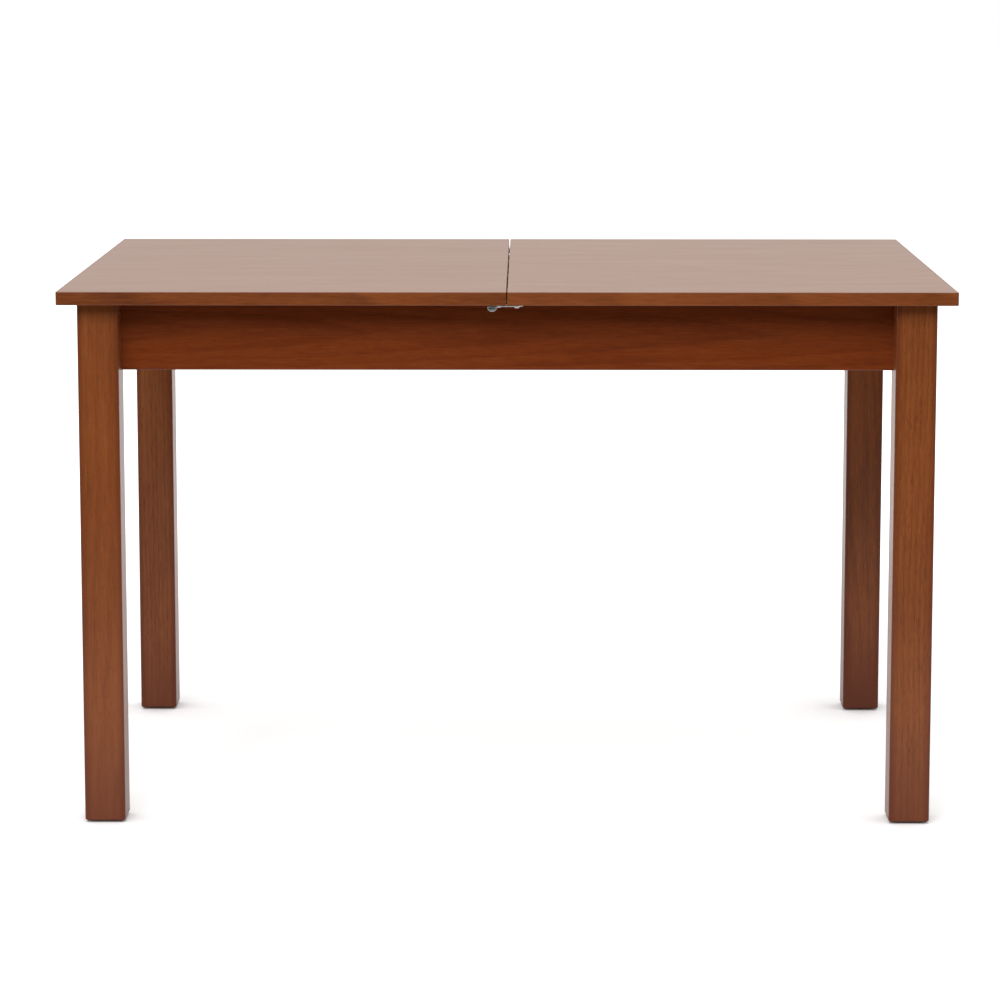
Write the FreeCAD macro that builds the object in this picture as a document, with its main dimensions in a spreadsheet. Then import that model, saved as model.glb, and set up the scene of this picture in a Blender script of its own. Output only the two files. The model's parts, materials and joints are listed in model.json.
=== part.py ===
import FreeCAD, Part
import math
import os
import Sketcher

# Extending dining table, closed. X runs along the table, the front is at -Y, Z is up,
# and the origin is on the floor under the middle of the table. Sizes are in millimetres.

SIZES = {
    # the two sliding halves of the top
    "top_length": 1200,
    "top_width": 800,
    "table_height": 730,
    "top_thickness": 18,
    "split_gap": 1.5,
    "top_corner_radius": 3,
    "top_arris": 1,
    # legs and aprons
    "end_overhang": 25,
    "side_overhang": 25,
    "slide_gap": 1.5,
    "leg_section": 55,
    "leg_edge_radius": 2.5,
    "foot_chamfer": 3,
    "leg_flat": 8,
    "apron_height": 92,
    "apron_thickness": 22,
    "apron_setback": 33,
    "apron_arris": 1.5,
    # foot glides
    "glide_diameter": 36,
    "glide_thickness": 2,
    "glide_stem_diameter": 6,
    "glide_stem_length": 16,
    # corner braces with their hanger bolts
    "brace_reach": 54,
    "brace_thickness": 24,
    "brace_height": 44,
    "brace_rise": 3.5,
    "brace_arris": 1,
    "bolt_diameter": 8,
    "bolt_spacing": 22,
    "bolt_depth": 35,
    "bolt_tail": 5,
    "bolt_end_chamfer": 1,
    "bolt_hole_play": 0.5,
    "washer_diameter": 18,
    "washer_thickness": 1.6,
    "nut_across_flats": 13,
    "nut_height": 6.5,
    "nut_chamfer": 0.8,
    # grooved guide rails on the long aprons
    "guide_width": 24,
    "guide_height": 40,
    "guide_end_gap": 1,
    "groove_rise": 13,
    "groove_height": 14,
    "groove_depth": 12,
    # tongued runners under the halves of the top
    "runner_width": 24,
    "runner_height": 36,
    "runner_side_gap": 0.5,
    "runner_end_gap": 6,
    "runner_split_gap": 25,
    "tongue_clearance": 0.4,
    "tongue_tip_gap": 0.6,
    "runner_arris": 1.5,
    "notch_clearance": 3,
    "notch_radius": 6,
    # stop blocks, which end the travel at the end aprons
    "stop_length": 32,
    "stop_width": 90,
    "stop_height": 24,
    "stop_play": 0.5,
    "insert_play": 20,
    # alignment dowels of the halves and of the leaf
    "dowel_diameter": 8,
    "dowel_reach": 12,
    "dowel_seat": 16,
    "dowel_play": 0.3,
    "dowel_spacing": 200,
    # folding leaf, stored flat below the split
    "leaf_width": 400,
    "leaf_fold_gap": 0.5,
    "leaf_play": 1,
    "hinge_length": 50,
    "hinge_flap": 24,
    "hinge_gauge": 1.5,
    "hinge_barrel": 6,
    "hinge_pin": 3,
    "hinge_play": 0.2,
    "hinge_inset": 75,
    # bearers that carry the leaf
    "bearer_thickness": 20,
    "bearer_height": 26,
    "bearer_rise": 3.5,
    "cleat_thickness": 12,
    "cleat_height": 18,
    "fence_thickness": 12,
    "fence_height": 38,
    "fence_length": 120,
    "bracket_flange": 26,
    "bracket_width": 16,
    "bracket_gauge": 2,
    "bracket_corner_radius": 4,
    # swing hooks that lock the halves together
    "hook_gauge": 1.5,
    "hook_width": 18,
    "hook_reach": 39.5,
    "hook_pivot_offset": 13.5,
    "hook_inset": 3.3,
    "hook_gap": 0.5,
    "hook_nose_width": 12,
    "hook_nose_radius": 4,
    "hook_edge_radius": 0.6,
    "hook_release_angle": 15,
    "keeper_radius": 25,
    "keeper_play": 0.6,
    "tab_width": 13,
    "tab_drop": 6.5,
    "tab_step": 1.2,
    "dish_rim": 0.9,
    "dish_depth": 0.9,
    "pin_diameter": 5,
    "pin_play": 0.1,
    "pin_depth": 12,
    "pin_head_diameter": 8.5,
    "pin_head_height": 2.4,
    "pin_head_gap": 0.3,
    # wood screws
    "screw_diameter": 4,
    "screw_head_diameter": 8,
    "screw_fit": 0.05,
    "screw_bite": 13,
    "counterbore_depth": 12,
    "counterbore_play": 1,
    "brace_screw_seat": 10,
    "small_screw_diameter": 3,
    "small_screw_head_diameter": 5.6,
    "small_screw_length": 14,
    "runner_screw_margin": 40,
    "guide_screw_margin": 120,
}

RUNNER_SCREW_COUNT = 3
GUIDE_SCREW_COUNT = 4
DOWEL_COUNT = 4

# Lengths closer than this are taken as equal
TOLERANCE = 1e-6
# A full round is a shade under half the width, so that two of them fit side by side
FULL_ROUND_RATIO = 0.495
# Outer radius of a bend in sheet, as a share of its thickness
BEND_RATIO = 0.9
# Outline of a round screw head, as shares of its radius and of its height
ROUND_HEAD = ((1, 0), (1, 0.35), (0.8, 0.75), (0.4, 1), (0, 1))
# Length, width and depth of the cross in a screw head, as shares of the head's diameter
CROSS_LENGTH_RATIO = 0.54
CROSS_WIDTH_RATIO = 0.14
CROSS_DEPTH_RATIO = 0.18

doc = FreeCAD.newDocument("extending_dining_table")
dims = doc.addObject("Spreadsheet::Sheet", "dims")
for row, (alias, number) in enumerate(SIZES.items(), start=1):
    dims.set(f"A{row}", alias.replace("_", " "))
    dims.set(f"B{row}", str(number))
    dims.setAlias(f"B{row}", alias)
doc.recompute()

# Places that several pieces share, as expressions on the sheet
UNDERSIDE = "(dims.table_height - dims.top_thickness)"
FRAME_TOP = f"({UNDERSIDE} - dims.slide_gap)"
APRON_BASE = f"({FRAME_TOP} - dims.apron_height)"
HALF_TOP = "(dims.top_length / 2)"
HALF_SPLIT = "(dims.split_gap / 2)"
LEG_OUT_X = f"({HALF_TOP} - dims.end_overhang)"
LEG_OUT_Y = "(dims.top_width / 2 - dims.side_overhang)"
LEG_IN_X = f"({LEG_OUT_X} - dims.leg_section)"
LEG_IN_Y = f"({LEG_OUT_Y} - dims.leg_section)"
APRON_OUT_X = f"({LEG_OUT_X} - dims.apron_setback)"
APRON_OUT_Y = f"({LEG_OUT_Y} - dims.apron_setback)"
BAY_X = f"({APRON_OUT_X} - dims.apron_thickness)"
BAY_Y = f"({APRON_OUT_Y} - dims.apron_thickness)"
GUIDE_HALF = f"(min({BAY_X}; {LEG_IN_X}) - dims.guide_end_gap)"
GUIDE_FACE_Y = f"({BAY_Y} - dims.guide_width)"
RUNNER_FACE_Y = f"({GUIDE_FACE_Y} - dims.runner_side_gap)"
TONGUE_LENGTH = "(dims.groove_depth + dims.runner_side_gap - dims.tongue_tip_gap)"
RUNNER_BACK_Y = f"({RUNNER_FACE_Y} - dims.runner_width)"
RUNNER_END_X = f"({BAY_X} - dims.runner_end_gap)"
RUNNER_LENGTH = f"({RUNNER_END_X} - dims.runner_split_gap)"
RUNNER_BASE = f"({UNDERSIDE} - dims.runner_height)"
NOTCH_DEPTH = f"({FRAME_TOP} - {RUNNER_BASE} + dims.notch_clearance)"
NOTCH_WIDTH = f"({LEG_IN_Y} - {RUNNER_BACK_Y} + dims.notch_clearance)"
TRAVEL = "(dims.leaf_width / 2 + dims.insert_play)"
STOP_FACE_X = f"({BAY_X} - {TRAVEL} - dims.stop_play)"
BRACE_BASE = f"({APRON_BASE} + dims.brace_rise)"
BRACE_STRIP = "(dims.brace_thickness * sqrt(2))"
LEAF_BASE = f"({APRON_BASE} + dims.bearer_rise + dims.bearer_height)"
LEAF_HALF = "(dims.top_width / 4)"
LEAF_PITCH = "(dims.top_thickness + dims.leaf_fold_gap)"
BEARER_OUT_X = "(dims.leaf_width / 2 + dims.leaf_play)"
PIVOT_Y = "(dims.top_width / 2 - dims.hook_inset - dims.tab_step - dims.hook_width / 2)"
HOOK_TOP = f"({UNDERSIDE} - dims.hook_gap)"
HOOK_BASE = f"({HOOK_TOP} - dims.hook_gauge)"

X_AXIS = FreeCAD.Vector(1, 0, 0)
Y_AXIS = FreeCAD.Vector(0, 1, 0)
Z_AXIS = FreeCAD.Vector(0, 0, 1)

# Name, side of X, side of Y and turn about Z of each corner of the frame
CORNERS = (
    ("front_left", -1, -1, 0),
    ("front_right", 1, -1, 90),
    ("rear_right", 1, 1, 180),
    ("rear_left", -1, 1, 270),
)

LONG_APRONS = {-1: "front_apron", 1: "rear_apron"}
END_APRONS = {-1: "left_end_apron", 1: "right_end_apron"}

pieces = {}
bores = {}


def mm(expression):
    """The number that an expression on the sheet has now."""
    return float(dims.evalExpression(expression))


def vector(x, y, z):
    """A point from three expressions."""
    return FreeCAD.Vector(mm(x), mm(y), mm(z))


def new_body(label):
    """An empty body, kept under the label of its sub-part."""
    body = doc.addObject("PartDesign::Body", label + "_body")
    pieces[label] = body
    return body


def outline(body, name, role, points, lift=None):
    """A closed sketch of straight lines on an origin plane, its corners bound to expressions."""
    sketch = body.newObject("Sketcher::SketchObject", f"{body.Name}_{name}")
    plane = next(item for item in body.Origin.OriginFeatures if item.Role == role)
    sketch.AttachmentSupport = (plane, [""])
    sketch.MapMode = "FlatFace"
    if lift:
        sketch.setExpression(".AttachmentOffset.Base.z", lift)
    corners = [FreeCAD.Vector(mm(across), mm(up), 0) for across, up in points]
    for number, corner in enumerate(corners):
        sketch.addGeometry(Part.LineSegment(corner, corners[(number + 1) % len(corners)]))
    for number in range(len(corners)):
        following = (number + 1) % len(corners)
        sketch.addConstraint(Sketcher.Constraint("Coincident", number, 2, following, 1))
    for number, (across, up) in enumerate(points):
        for kind, expression, axis in (("DistanceX", across, -2), ("DistanceY", up, -1)):
            if expression == "0":
                sketch.addConstraint(Sketcher.Constraint("PointOnObject", number, 1, axis))
                continue
            place = Sketcher.Constraint(kind, -1, 1, number, 1, mm(expression))
            index = sketch.addConstraint(place)
            sketch.setExpression(f"Constraints[{index}]", expression)
    return sketch


def rectangle(width, height):
    """The corners of a rectangle that starts at the sketch's origin."""
    return (("0", "0"), (width, "0"), (width, height), ("0", height))


def pad(body, sketch, length, backwards=False):
    """A pad of a sketch along its plane's normal, or against it."""
    feature = body.newObject("PartDesign::Pad", sketch.Name + "_pad")
    feature.Profile = sketch
    feature.Reversed = backwards
    feature.setExpression("Length", length)
    doc.recompute()
    return feature


def dress(body, kind, name, size, wanted):
    """A fillet or chamfer on the edges of the body that a test picks."""
    base = body.Tip
    edges = [f"Edge{index}" for index, edge in enumerate(base.Shape.Edges, start=1) if wanted(edge)]
    feature = body.newObject(f"PartDesign::{kind}", f"{body.Name}_{name}")
    feature.Base = (base, edges)
    feature.setExpression("Radius" if kind == "Fillet" else "Size", size)
    doc.recompute()
    return feature


def runs_along(edge, axis):
    """True for a straight edge that is parallel to an axis."""
    ends = edge.Vertexes
    if len(ends) != 2 or not isinstance(edge.Curve, Part.Line):
        return False
    span = ends[1].Point.sub(ends[0].Point)
    return abs(abs(span.dot(axis)) - span.Length) < TOLERANCE


def at_height(edge, height):
    """True for an edge that lies wholly at one height."""
    return all(abs(vertex.Point.z - height) < TOLERANCE for vertex in edge.Vertexes)


def climbs(edge):
    """True for an edge whose ends lie at different heights."""
    return abs(edge.Vertexes[0].Z - edge.Vertexes[-1].Z) > TOLERANCE


def outer_arris(body, axis):
    """A test for the edges along an axis that lie on the corners of the body's own box."""
    box = body.Tip.Shape.BoundBox

    def on_corner(edge):
        spot = edge.Vertexes[0].Point
        limits = []
        for low, high, value, line in (
            (box.XMin, box.XMax, spot.x, X_AXIS),
            (box.YMin, box.YMax, spot.y, Y_AXIS),
            (box.ZMin, box.ZMax, spot.z, Z_AXIS),
        ):
            if line != axis:
                limits.append(min(abs(value - low), abs(value - high)) < TOLERANCE)
        return runs_along(edge, axis) and all(limits)

    return on_corner


def place(thing, x, y, z, turn=0):
    """Bind a sub-part's place to expressions and turn it about the vertical."""
    thing.Placement = FreeCAD.Placement(FreeCAD.Vector(), FreeCAD.Rotation(Z_AXIS, turn))
    thing.setExpression(".Placement.Base.x", x)
    thing.setExpression(".Placement.Base.y", y)
    thing.setExpression(".Placement.Base.z", z)


def signed(side, expression):
    """An expression, or its negative for the other side of the table."""
    return expression if side > 0 else f"-{expression}"


def turn_placement(side_x, side_y, turn, x, y, z):
    """The placement of one corner of the frame, as numbers."""
    spot = FreeCAD.Vector(side_x * mm(x), side_y * mm(y), mm(z))
    return FreeCAD.Placement(spot, FreeCAD.Rotation(Z_AXIS, turn))


def half_turned(solid):
    """A copy of a solid turned half round about the table's own axis."""
    copy = solid.copy()
    copy.rotate(FreeCAD.Vector(), Z_AXIS, 180)
    return copy


def bore(label, solid):
    """Note a solid that is drilled or cut out of a sub-part once all the pieces are placed."""
    bores.setdefault(label, []).append(solid)


def group(label, solids):
    """A sub-part of separate solids that are already in their places."""
    feature = doc.addObject("Part::Feature", label + "_group")
    feature.Shape = Part.makeCompound(solids)
    pieces[label] = feature


def turned(profile, spot, direction):
    """A solid of revolution of (radius, height) points, set at a spot along a direction."""
    points = [FreeCAD.Vector(radius, 0, height) for radius, height in profile]
    face = Part.Face(Part.makePolygon(points + points[:1]))
    solid = face.revolve(FreeCAD.Vector(), Z_AXIS, 360)
    solid.Placement = FreeCAD.Placement(spot, FreeCAD.Rotation(Z_AXIS, direction))
    return solid


def rod(diameter, length, spot, direction):
    """A plain cylinder from a spot along a direction."""
    return Part.makeCylinder(diameter / 2, length, spot, direction)


def cross_recess(spot, direction, diameter):
    """The cross that a driver fits, to be cut into a screw head from a spot along a direction."""
    length = CROSS_LENGTH_RATIO * diameter
    width = CROSS_WIDTH_RATIO * diameter
    arm = Part.makeBox(length, width, CROSS_DEPTH_RATIO * diameter)
    arm.translate(FreeCAD.Vector(-length / 2, -width / 2, 0))
    other_arm = arm.copy()
    other_arm.rotate(FreeCAD.Vector(), Z_AXIS, 90)
    cross = arm.fuse(other_arm)
    cross.Placement = FreeCAD.Placement(spot, FreeCAD.Rotation(Z_AXIS, direction))
    return cross


def countersunk_screw(spot, direction, length, through, diameter="screw", sink="0"):
    """A wood screw with its head flush at a spot, and its hole in each piece that it passes through.

    A sink is the depth of the counterbore that leads down to the head."""
    shank = mm(f"dims.{diameter}_diameter / 2")
    head = mm(f"dims.{diameter}_head_diameter / 2")
    fit = mm("dims.screw_fit")
    tip = length - shank
    screw = turned(((0, 0), (head, 0), (shank, head - shank), (shank, tip), (0, length)), spot, direction)
    wall = shank + fit
    end = length + fit
    hole = turned(((0, 0), (head + fit, 0), (wall, head - shank), (wall, end), (0, end)), spot, direction)
    for label in through:
        bore(label, hole)
    if mm(sink) > 0:
        width = 2 * head + mm("dims.counterbore_play")
        bore(through[0], rod(width, mm(sink), spot.sub(direction * mm(sink)), direction))
    return screw.cut(cross_recess(spot, direction, 2 * head))


def small_screw(spot, direction, through):
    """The short screw of the hinges and brackets."""
    length = mm("dims.small_screw_length")
    return countersunk_screw(spot, direction, length, through, diameter="small_screw")


# Top: two halves that meet in the middle of the length, alike when turned half round
def make_top_half(label, side):
    body = new_body(label)
    length = f"({HALF_TOP} - {HALF_SPLIT})"
    board = outline(body, "board", "XY_Plane", rectangle(length, "dims.top_width"))
    pad(body, board, "dims.top_thickness")

    def outer_corner(edge):
        return runs_along(edge, Z_AXIS) and abs(edge.Vertexes[0].Point.x) < TOLERANCE

    dress(body, "Fillet", "corners", "dims.top_corner_radius", outer_corner)
    thickness = mm("dims.top_thickness")

    def rim(edge):
        return at_height(edge, 0) or at_height(edge, thickness)

    dress(body, "Fillet", "arris", "dims.top_arris", rim)
    turn = 0 if side < 0 else 180
    place(body, signed(side, HALF_TOP), signed(side, "dims.top_width / 2"), UNDERSIDE, turn)


make_top_half("top_panel_left", -1)
make_top_half("top_panel_right", 1)


# Legs: square, with softened edges, a chamfered foot and a flat for the hanger bolts
def make_leg(name, side_x, side_y, turn):
    label = f"{name}_leg"
    body = new_body(label)
    section = outline(body, "section", "XY_Plane", rectangle("dims.leg_section", "dims.leg_section"))
    pad(body, section, f"{FRAME_TOP} - dims.glide_thickness")
    dress(body, "Chamfer", "foot", "dims.foot_chamfer", lambda edge: at_height(edge, 0))
    dress(body, "Fillet", "edges", "dims.leg_edge_radius", climbs)
    inner = "dims.leg_section"
    flat_start = "dims.leg_section - dims.leg_flat"
    corner_cut = ((inner, flat_start), (inner, inner), (flat_start, inner))
    flat = outline(body, "flat", "XY_Plane", corner_cut, lift=f"{APRON_BASE} - dims.glide_thickness")
    before = body.Shape.Volume
    pocket = body.newObject("PartDesign::Pocket", label + "_flat_cut")
    pocket.Profile = flat
    pocket.Reversed = True
    pocket.setExpression("Length", "dims.apron_height")
    doc.recompute()
    if body.Shape.Volume >= before:
        raise RuntimeError(f"the bolt flat of {label} cuts nothing")
    place(body, signed(side_x, LEG_OUT_X), signed(side_y, LEG_OUT_Y), "dims.glide_thickness", turn)


for corner in CORNERS:
    make_leg(*corner)


# Foot glides: a thin disc with a stem that is pressed into the foot of each leg
def make_glides():
    disc = mm("dims.glide_diameter / 2")
    stem = mm("dims.glide_stem_diameter / 2")
    thickness = mm("dims.glide_thickness")
    top = thickness + mm("dims.glide_stem_length")
    fit = mm("dims.screw_fit")
    half = "dims.leg_section / 2"
    glides = []
    for name, side_x, side_y, turn in CORNERS:
        corner = turn_placement(side_x, side_y, turn, f"{LEG_OUT_X} - {half}", f"{LEG_OUT_Y} - {half}", "0")
        spot = corner.Base
        profile = (
            (0, 0),
            (disc - thickness / 2, 0),
            (disc, thickness / 2),
            (disc, thickness),
            (stem, thickness),
            (stem, top),
            (0, top),
        )
        glides.append(turned(profile, spot, Z_AXIS))
        bore(f"{name}_leg", rod(2 * (stem + fit), top + fit, spot, Z_AXIS))
    group("foot_glides", glides)


make_glides()


# Aprons: the long ones are plain boards, the end ones are notched for the runners to pass
def make_long_apron(label, side):
    body = new_body(label)
    section = outline(body, "section", "YZ_Plane", rectangle("dims.apron_thickness", "dims.apron_height"))
    pad(body, section, f"2 * {LEG_IN_X}")
    dress(body, "Fillet", "arris", "dims.apron_arris", outer_arris(body, X_AXIS))
    turn = 0 if side < 0 else 180
    place(body, signed(side, LEG_IN_X), signed(side, APRON_OUT_Y), APRON_BASE, turn)


def make_end_apron(label, side):
    body = new_body(label)
    length = f"(2 * {LEG_IN_Y})"
    shoulder = f"(dims.apron_height - {NOTCH_DEPTH})"
    points = (
        ("0", "0"),
        (length, "0"),
        (length, shoulder),
        (f"{length} - {NOTCH_WIDTH}", shoulder),
        (f"{length} - {NOTCH_WIDTH}", "dims.apron_height"),
        (NOTCH_WIDTH, "dims.apron_height"),
        (NOTCH_WIDTH, shoulder),
        ("0", shoulder),
    )
    pad(body, outline(body, "face", "YZ_Plane", points), "dims.apron_thickness")
    notch_floor = mm(shoulder)
    notch_walls = (mm(NOTCH_WIDTH), mm(f"{length} - {NOTCH_WIDTH}"))

    def notch_root(edge):
        spot = edge.Vertexes[0].Point
        beside_wall = any(abs(spot.y - wall) < TOLERANCE for wall in notch_walls)
        return runs_along(edge, X_AXIS) and beside_wall and abs(spot.z - notch_floor) < TOLERANCE

    dress(body, "Fillet", "notches", "dims.notch_radius", notch_root)

    def lower_arris(edge):
        return runs_along(edge, Y_AXIS) and at_height(edge, 0)

    dress(body, "Fillet", "arris", "dims.apron_arris", lower_arris)
    turn = 0 if side < 0 else 180
    place(body, signed(side, APRON_OUT_X), signed(side, LEG_IN_Y), APRON_BASE, turn)


make_long_apron("front_apron", -1)
make_long_apron("rear_apron", 1)
make_end_apron("left_end_apron", -1)
make_end_apron("right_end_apron", 1)


# Corner braces: blocks set across the corners of the aprons
def make_brace(name, side_x, side_y, turn):
    body = new_body(f"{name}_brace")
    far = f"(dims.brace_reach + {BRACE_STRIP})"
    points = (("dims.brace_reach", "0"), (far, "0"), ("0", far), ("0", "dims.brace_reach"))
    pad(body, outline(body, "plan", "XY_Plane", points), "dims.brace_height")
    dress(body, "Chamfer", "arris", "dims.brace_arris", lambda edge: not climbs(edge))
    place(body, signed(side_x, BAY_X), signed(side_y, BAY_Y), BRACE_BASE, turn)


for corner in CORNERS:
    make_brace(*corner)


# Hanger bolts: screwed into the flat of each leg, through the brace, with a washer and a nut
def make_hanger_bolts():
    diagonal = FreeCAD.Vector(math.sqrt(0.5), math.sqrt(0.5), 0)
    diameter = mm("dims.bolt_diameter")
    fit = mm("dims.screw_fit")
    leg_corner = "(dims.leg_section - dims.apron_setback - dims.apron_thickness) * sqrt(2)"
    flat = mm(f"{leg_corner} - dims.leg_flat / sqrt(2)")
    start = flat - mm("dims.bolt_depth")
    seat = mm("dims.brace_reach / sqrt(2) + dims.brace_thickness")
    washer = mm("dims.washer_thickness")
    nut = mm("dims.nut_height")
    length = seat + washer + nut + mm("dims.bolt_tail") - start
    end = mm("dims.bolt_end_chamfer")
    radius = diameter / 2
    bolt = (
        (0, 0),
        (radius - end, 0),
        (radius, end),
        (radius, length - end),
        (radius - end, length),
        (0, length),
    )
    hexagon = mm("dims.nut_across_flats") / math.sqrt(3)
    flat_radius = mm("dims.nut_across_flats / 2")
    corner_drop = mm("dims.nut_chamfer")
    nut_round = (
        (0, 0),
        (flat_radius, 0),
        (hexagon, corner_drop),
        (hexagon, nut - corner_drop),
        (flat_radius, nut),
        (0, nut),
    )
    bolts, washers, nuts = [], [], []
    for name, side_x, side_y, turn in CORNERS:
        corner = turn_placement(side_x, side_y, turn, BAY_X, BAY_Y, BRACE_BASE)
        direction = corner.Rotation.multVec(diagonal)
        for step in (-0.5, 0.5):
            height = mm("dims.brace_height / 2") + step * mm("dims.bolt_spacing")
            axis = corner.multVec(FreeCAD.Vector(0, 0, height))
            first = axis.add(direction * start)
            bolts.append(turned(bolt, first, direction))
            bore(f"{name}_leg", rod(diameter + 2 * fit, length, first, direction))
            play = mm("dims.bolt_hole_play")
            for label in (f"{name}_brace", LONG_APRONS[side_y], END_APRONS[side_x]):
                bore(label, rod(diameter + 2 * play, length, first, direction))
            clear = rod(diameter + 2 * fit, length, first, direction)
            disc = rod(mm("dims.washer_diameter"), washer, axis.add(direction * seat), direction)
            washers.append(disc.cut(clear))
            rim = [FreeCAD.Vector(hexagon, 0, 0)]
            for sixth in range(1, 6):
                rim.append(FreeCAD.Rotation(Z_AXIS, 60 * sixth).multVec(rim[0]))
            block = Part.Face(Part.makePolygon(rim + rim[:1])).extrude(Z_AXIS * nut)
            spot = axis.add(direction * (seat + washer))
            block.Placement = FreeCAD.Placement(spot, FreeCAD.Rotation(Z_AXIS, direction))
            nuts.append(block.common(turned(nut_round, spot, direction)).cut(clear))
    group("hanger_bolts", bolts)
    group("hanger_washers", washers)
    group("hanger_nuts", nuts)


make_hanger_bolts()


# Brace screws: one at each end of a brace, sunk square into the apron that it lies on
def make_brace_screws():
    seat = mm("dims.brace_screw_seat")
    length = seat + mm("dims.screw_bite")
    offset = mm(f"dims.brace_reach + {BRACE_STRIP} / 2")
    height = mm("dims.brace_height / 2")
    screws = []
    for name, side_x, side_y, turn in CORNERS:
        corner = turn_placement(side_x, side_y, turn, BAY_X, BAY_Y, BRACE_BASE)
        for spot, inward in (
            (FreeCAD.Vector(offset, seat, height), -Y_AXIS),
            (FreeCAD.Vector(seat, offset, height), -X_AXIS),
        ):
            direction = corner.Rotation.multVec(inward)
            lengthways = abs(direction.y) > abs(direction.x)
            apron = LONG_APRONS[side_y] if lengthways else END_APRONS[side_x]
            through = (f"{name}_brace", apron)
            head = corner.multVec(spot)
            screws.append(countersunk_screw(head, direction, length, through, sink=BRACE_STRIP))
    group("brace_screws", screws)


make_brace_screws()


# Guide rails: grooved hardwood on the inner faces of the long aprons
def make_guide_rail(label, side):
    body = new_body(label)
    groove_top = "(dims.groove_rise + dims.groove_height)"
    groove_floor = "(dims.guide_width - dims.groove_depth)"
    points = (
        ("0", "0"),
        ("dims.guide_width", "0"),
        ("dims.guide_width", "dims.groove_rise"),
        (groove_floor, "dims.groove_rise"),
        (groove_floor, groove_top),
        ("dims.guide_width", groove_top),
        ("dims.guide_width", "dims.guide_height"),
        ("0", "dims.guide_height"),
    )
    pad(body, outline(body, "section", "YZ_Plane", points), f"2 * {GUIDE_HALF}")
    turn = 0 if side < 0 else 180
    place(body, signed(side, GUIDE_HALF), signed(side, BAY_Y), f"{FRAME_TOP} - dims.guide_height", turn)


def make_guide_screws():
    length = mm("dims.guide_width + dims.screw_bite")
    first = mm(f"dims.guide_screw_margin - {GUIDE_HALF}")
    pitch = -2 * first / (GUIDE_SCREW_COUNT - 1)
    height = f"{FRAME_TOP} - dims.guide_height + dims.groove_rise / 2"
    screws = []
    for side, edge in ((-1, "front"), (1, "rear")):
        through = (f"{edge}_guide_rail", f"{edge}_apron")
        for number in range(GUIDE_SCREW_COUNT):
            spot = FreeCAD.Vector(first + number * pitch, side * mm(GUIDE_FACE_Y), mm(height))
            screws.append(countersunk_screw(spot, Y_AXIS * side, length, through))
    group("guide_rail_screws", screws)


make_guide_rail("front_guide_rail", -1)
make_guide_rail("rear_guide_rail", 1)
make_guide_screws()


# Runners: tongued bars under the top, which slide in the grooves of the guide rails
def make_runner(label, side_x, side_y):
    body = new_body(label)
    groove_base = f"({FRAME_TOP} - dims.guide_height + dims.groove_rise - {RUNNER_BASE})"
    tongue_low = f"({groove_base} + dims.tongue_clearance)"
    tongue_high = f"({groove_base} + dims.groove_height - dims.tongue_clearance)"
    back = f"({TONGUE_LENGTH} + dims.runner_width)"
    points = (
        (TONGUE_LENGTH, "0"),
        (back, "0"),
        (back, "dims.runner_height"),
        (TONGUE_LENGTH, "dims.runner_height"),
        (TONGUE_LENGTH, tongue_high),
        ("0", tongue_high),
        ("0", tongue_low),
        (TONGUE_LENGTH, tongue_low),
    )
    pad(body, outline(body, "section", "YZ_Plane", points), RUNNER_LENGTH)
    dress(
        body,
        "Fillet",
        "arris",
        "dims.runner_arris",
        lambda edge: runs_along(edge, X_AXIS) and at_height(edge, 0),
    )
    tip = f"({RUNNER_FACE_Y} + {TONGUE_LENGTH})"
    turn = 0 if side_y < 0 else 180
    near_end = RUNNER_END_X if side_x == side_y else "dims.runner_split_gap"
    place(body, signed(side_x, near_end), signed(side_y, tip), RUNNER_BASE, turn)


def make_runner_screws(half, side_x):
    sink = mm("dims.counterbore_depth")
    length = mm("dims.runner_height - dims.counterbore_depth + dims.screw_bite")
    first = mm("dims.runner_split_gap + dims.runner_screw_margin")
    last = mm(f"{RUNNER_END_X} - dims.runner_screw_margin")
    pitch = (last - first) / (RUNNER_SCREW_COUNT - 1)
    middle = mm(f"{RUNNER_BACK_Y} + dims.runner_width / 2")
    screws = []
    for side_y, edge in ((-1, "front"), (1, "rear")):
        for number in range(RUNNER_SCREW_COUNT):
            along = side_x * (first + number * pitch)
            spot = FreeCAD.Vector(along, side_y * middle, mm(RUNNER_BASE) + sink)
            through = (f"{half}_{edge}_runner", f"top_panel_{half}")
            screws.append(countersunk_screw(spot, Z_AXIS, length, through, sink="dims.counterbore_depth"))
    group(f"{half}_runner_screws", screws)


for half, side_x in (("left", -1), ("right", 1)):
    make_runner(f"{half}_front_runner", side_x, -1)
    make_runner(f"{half}_rear_runner", side_x, 1)
    make_runner_screws(half, side_x)


# Stop blocks: screwed under each half, they meet the end apron at the end of the travel
def make_stop_block(half, side):
    body = new_body(f"{half}_stop_block")
    plan = outline(body, "plan", "XY_Plane", rectangle("dims.stop_length", "dims.stop_width"))
    pad(body, plan, "dims.stop_height")
    dress(body, "Chamfer", "arris", "dims.runner_arris", lambda edge: at_height(edge, 0))
    turn = 0 if side < 0 else 180
    base = f"{UNDERSIDE} - dims.stop_height"
    place(body, signed(side, STOP_FACE_X), signed(side, "dims.stop_width / 2"), base, turn)
    length = mm("dims.stop_height - dims.runner_arris + dims.screw_bite")
    seat = f"{base} + dims.runner_arris"
    screws = []
    for across in (-1, 1):
        x = f"{STOP_FACE_X} - dims.stop_length / 2"
        spot = FreeCAD.Vector(side * mm(x), across * mm("dims.stop_width / 4"), mm(seat))
        through = (f"{half}_stop_block", f"top_panel_{half}")
        screws.append(countersunk_screw(spot, Z_AXIS, length, through, sink="dims.runner_arris"))
    group(f"{half}_stop_screws", screws)


make_stop_block("left", -1)
make_stop_block("right", 1)


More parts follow.
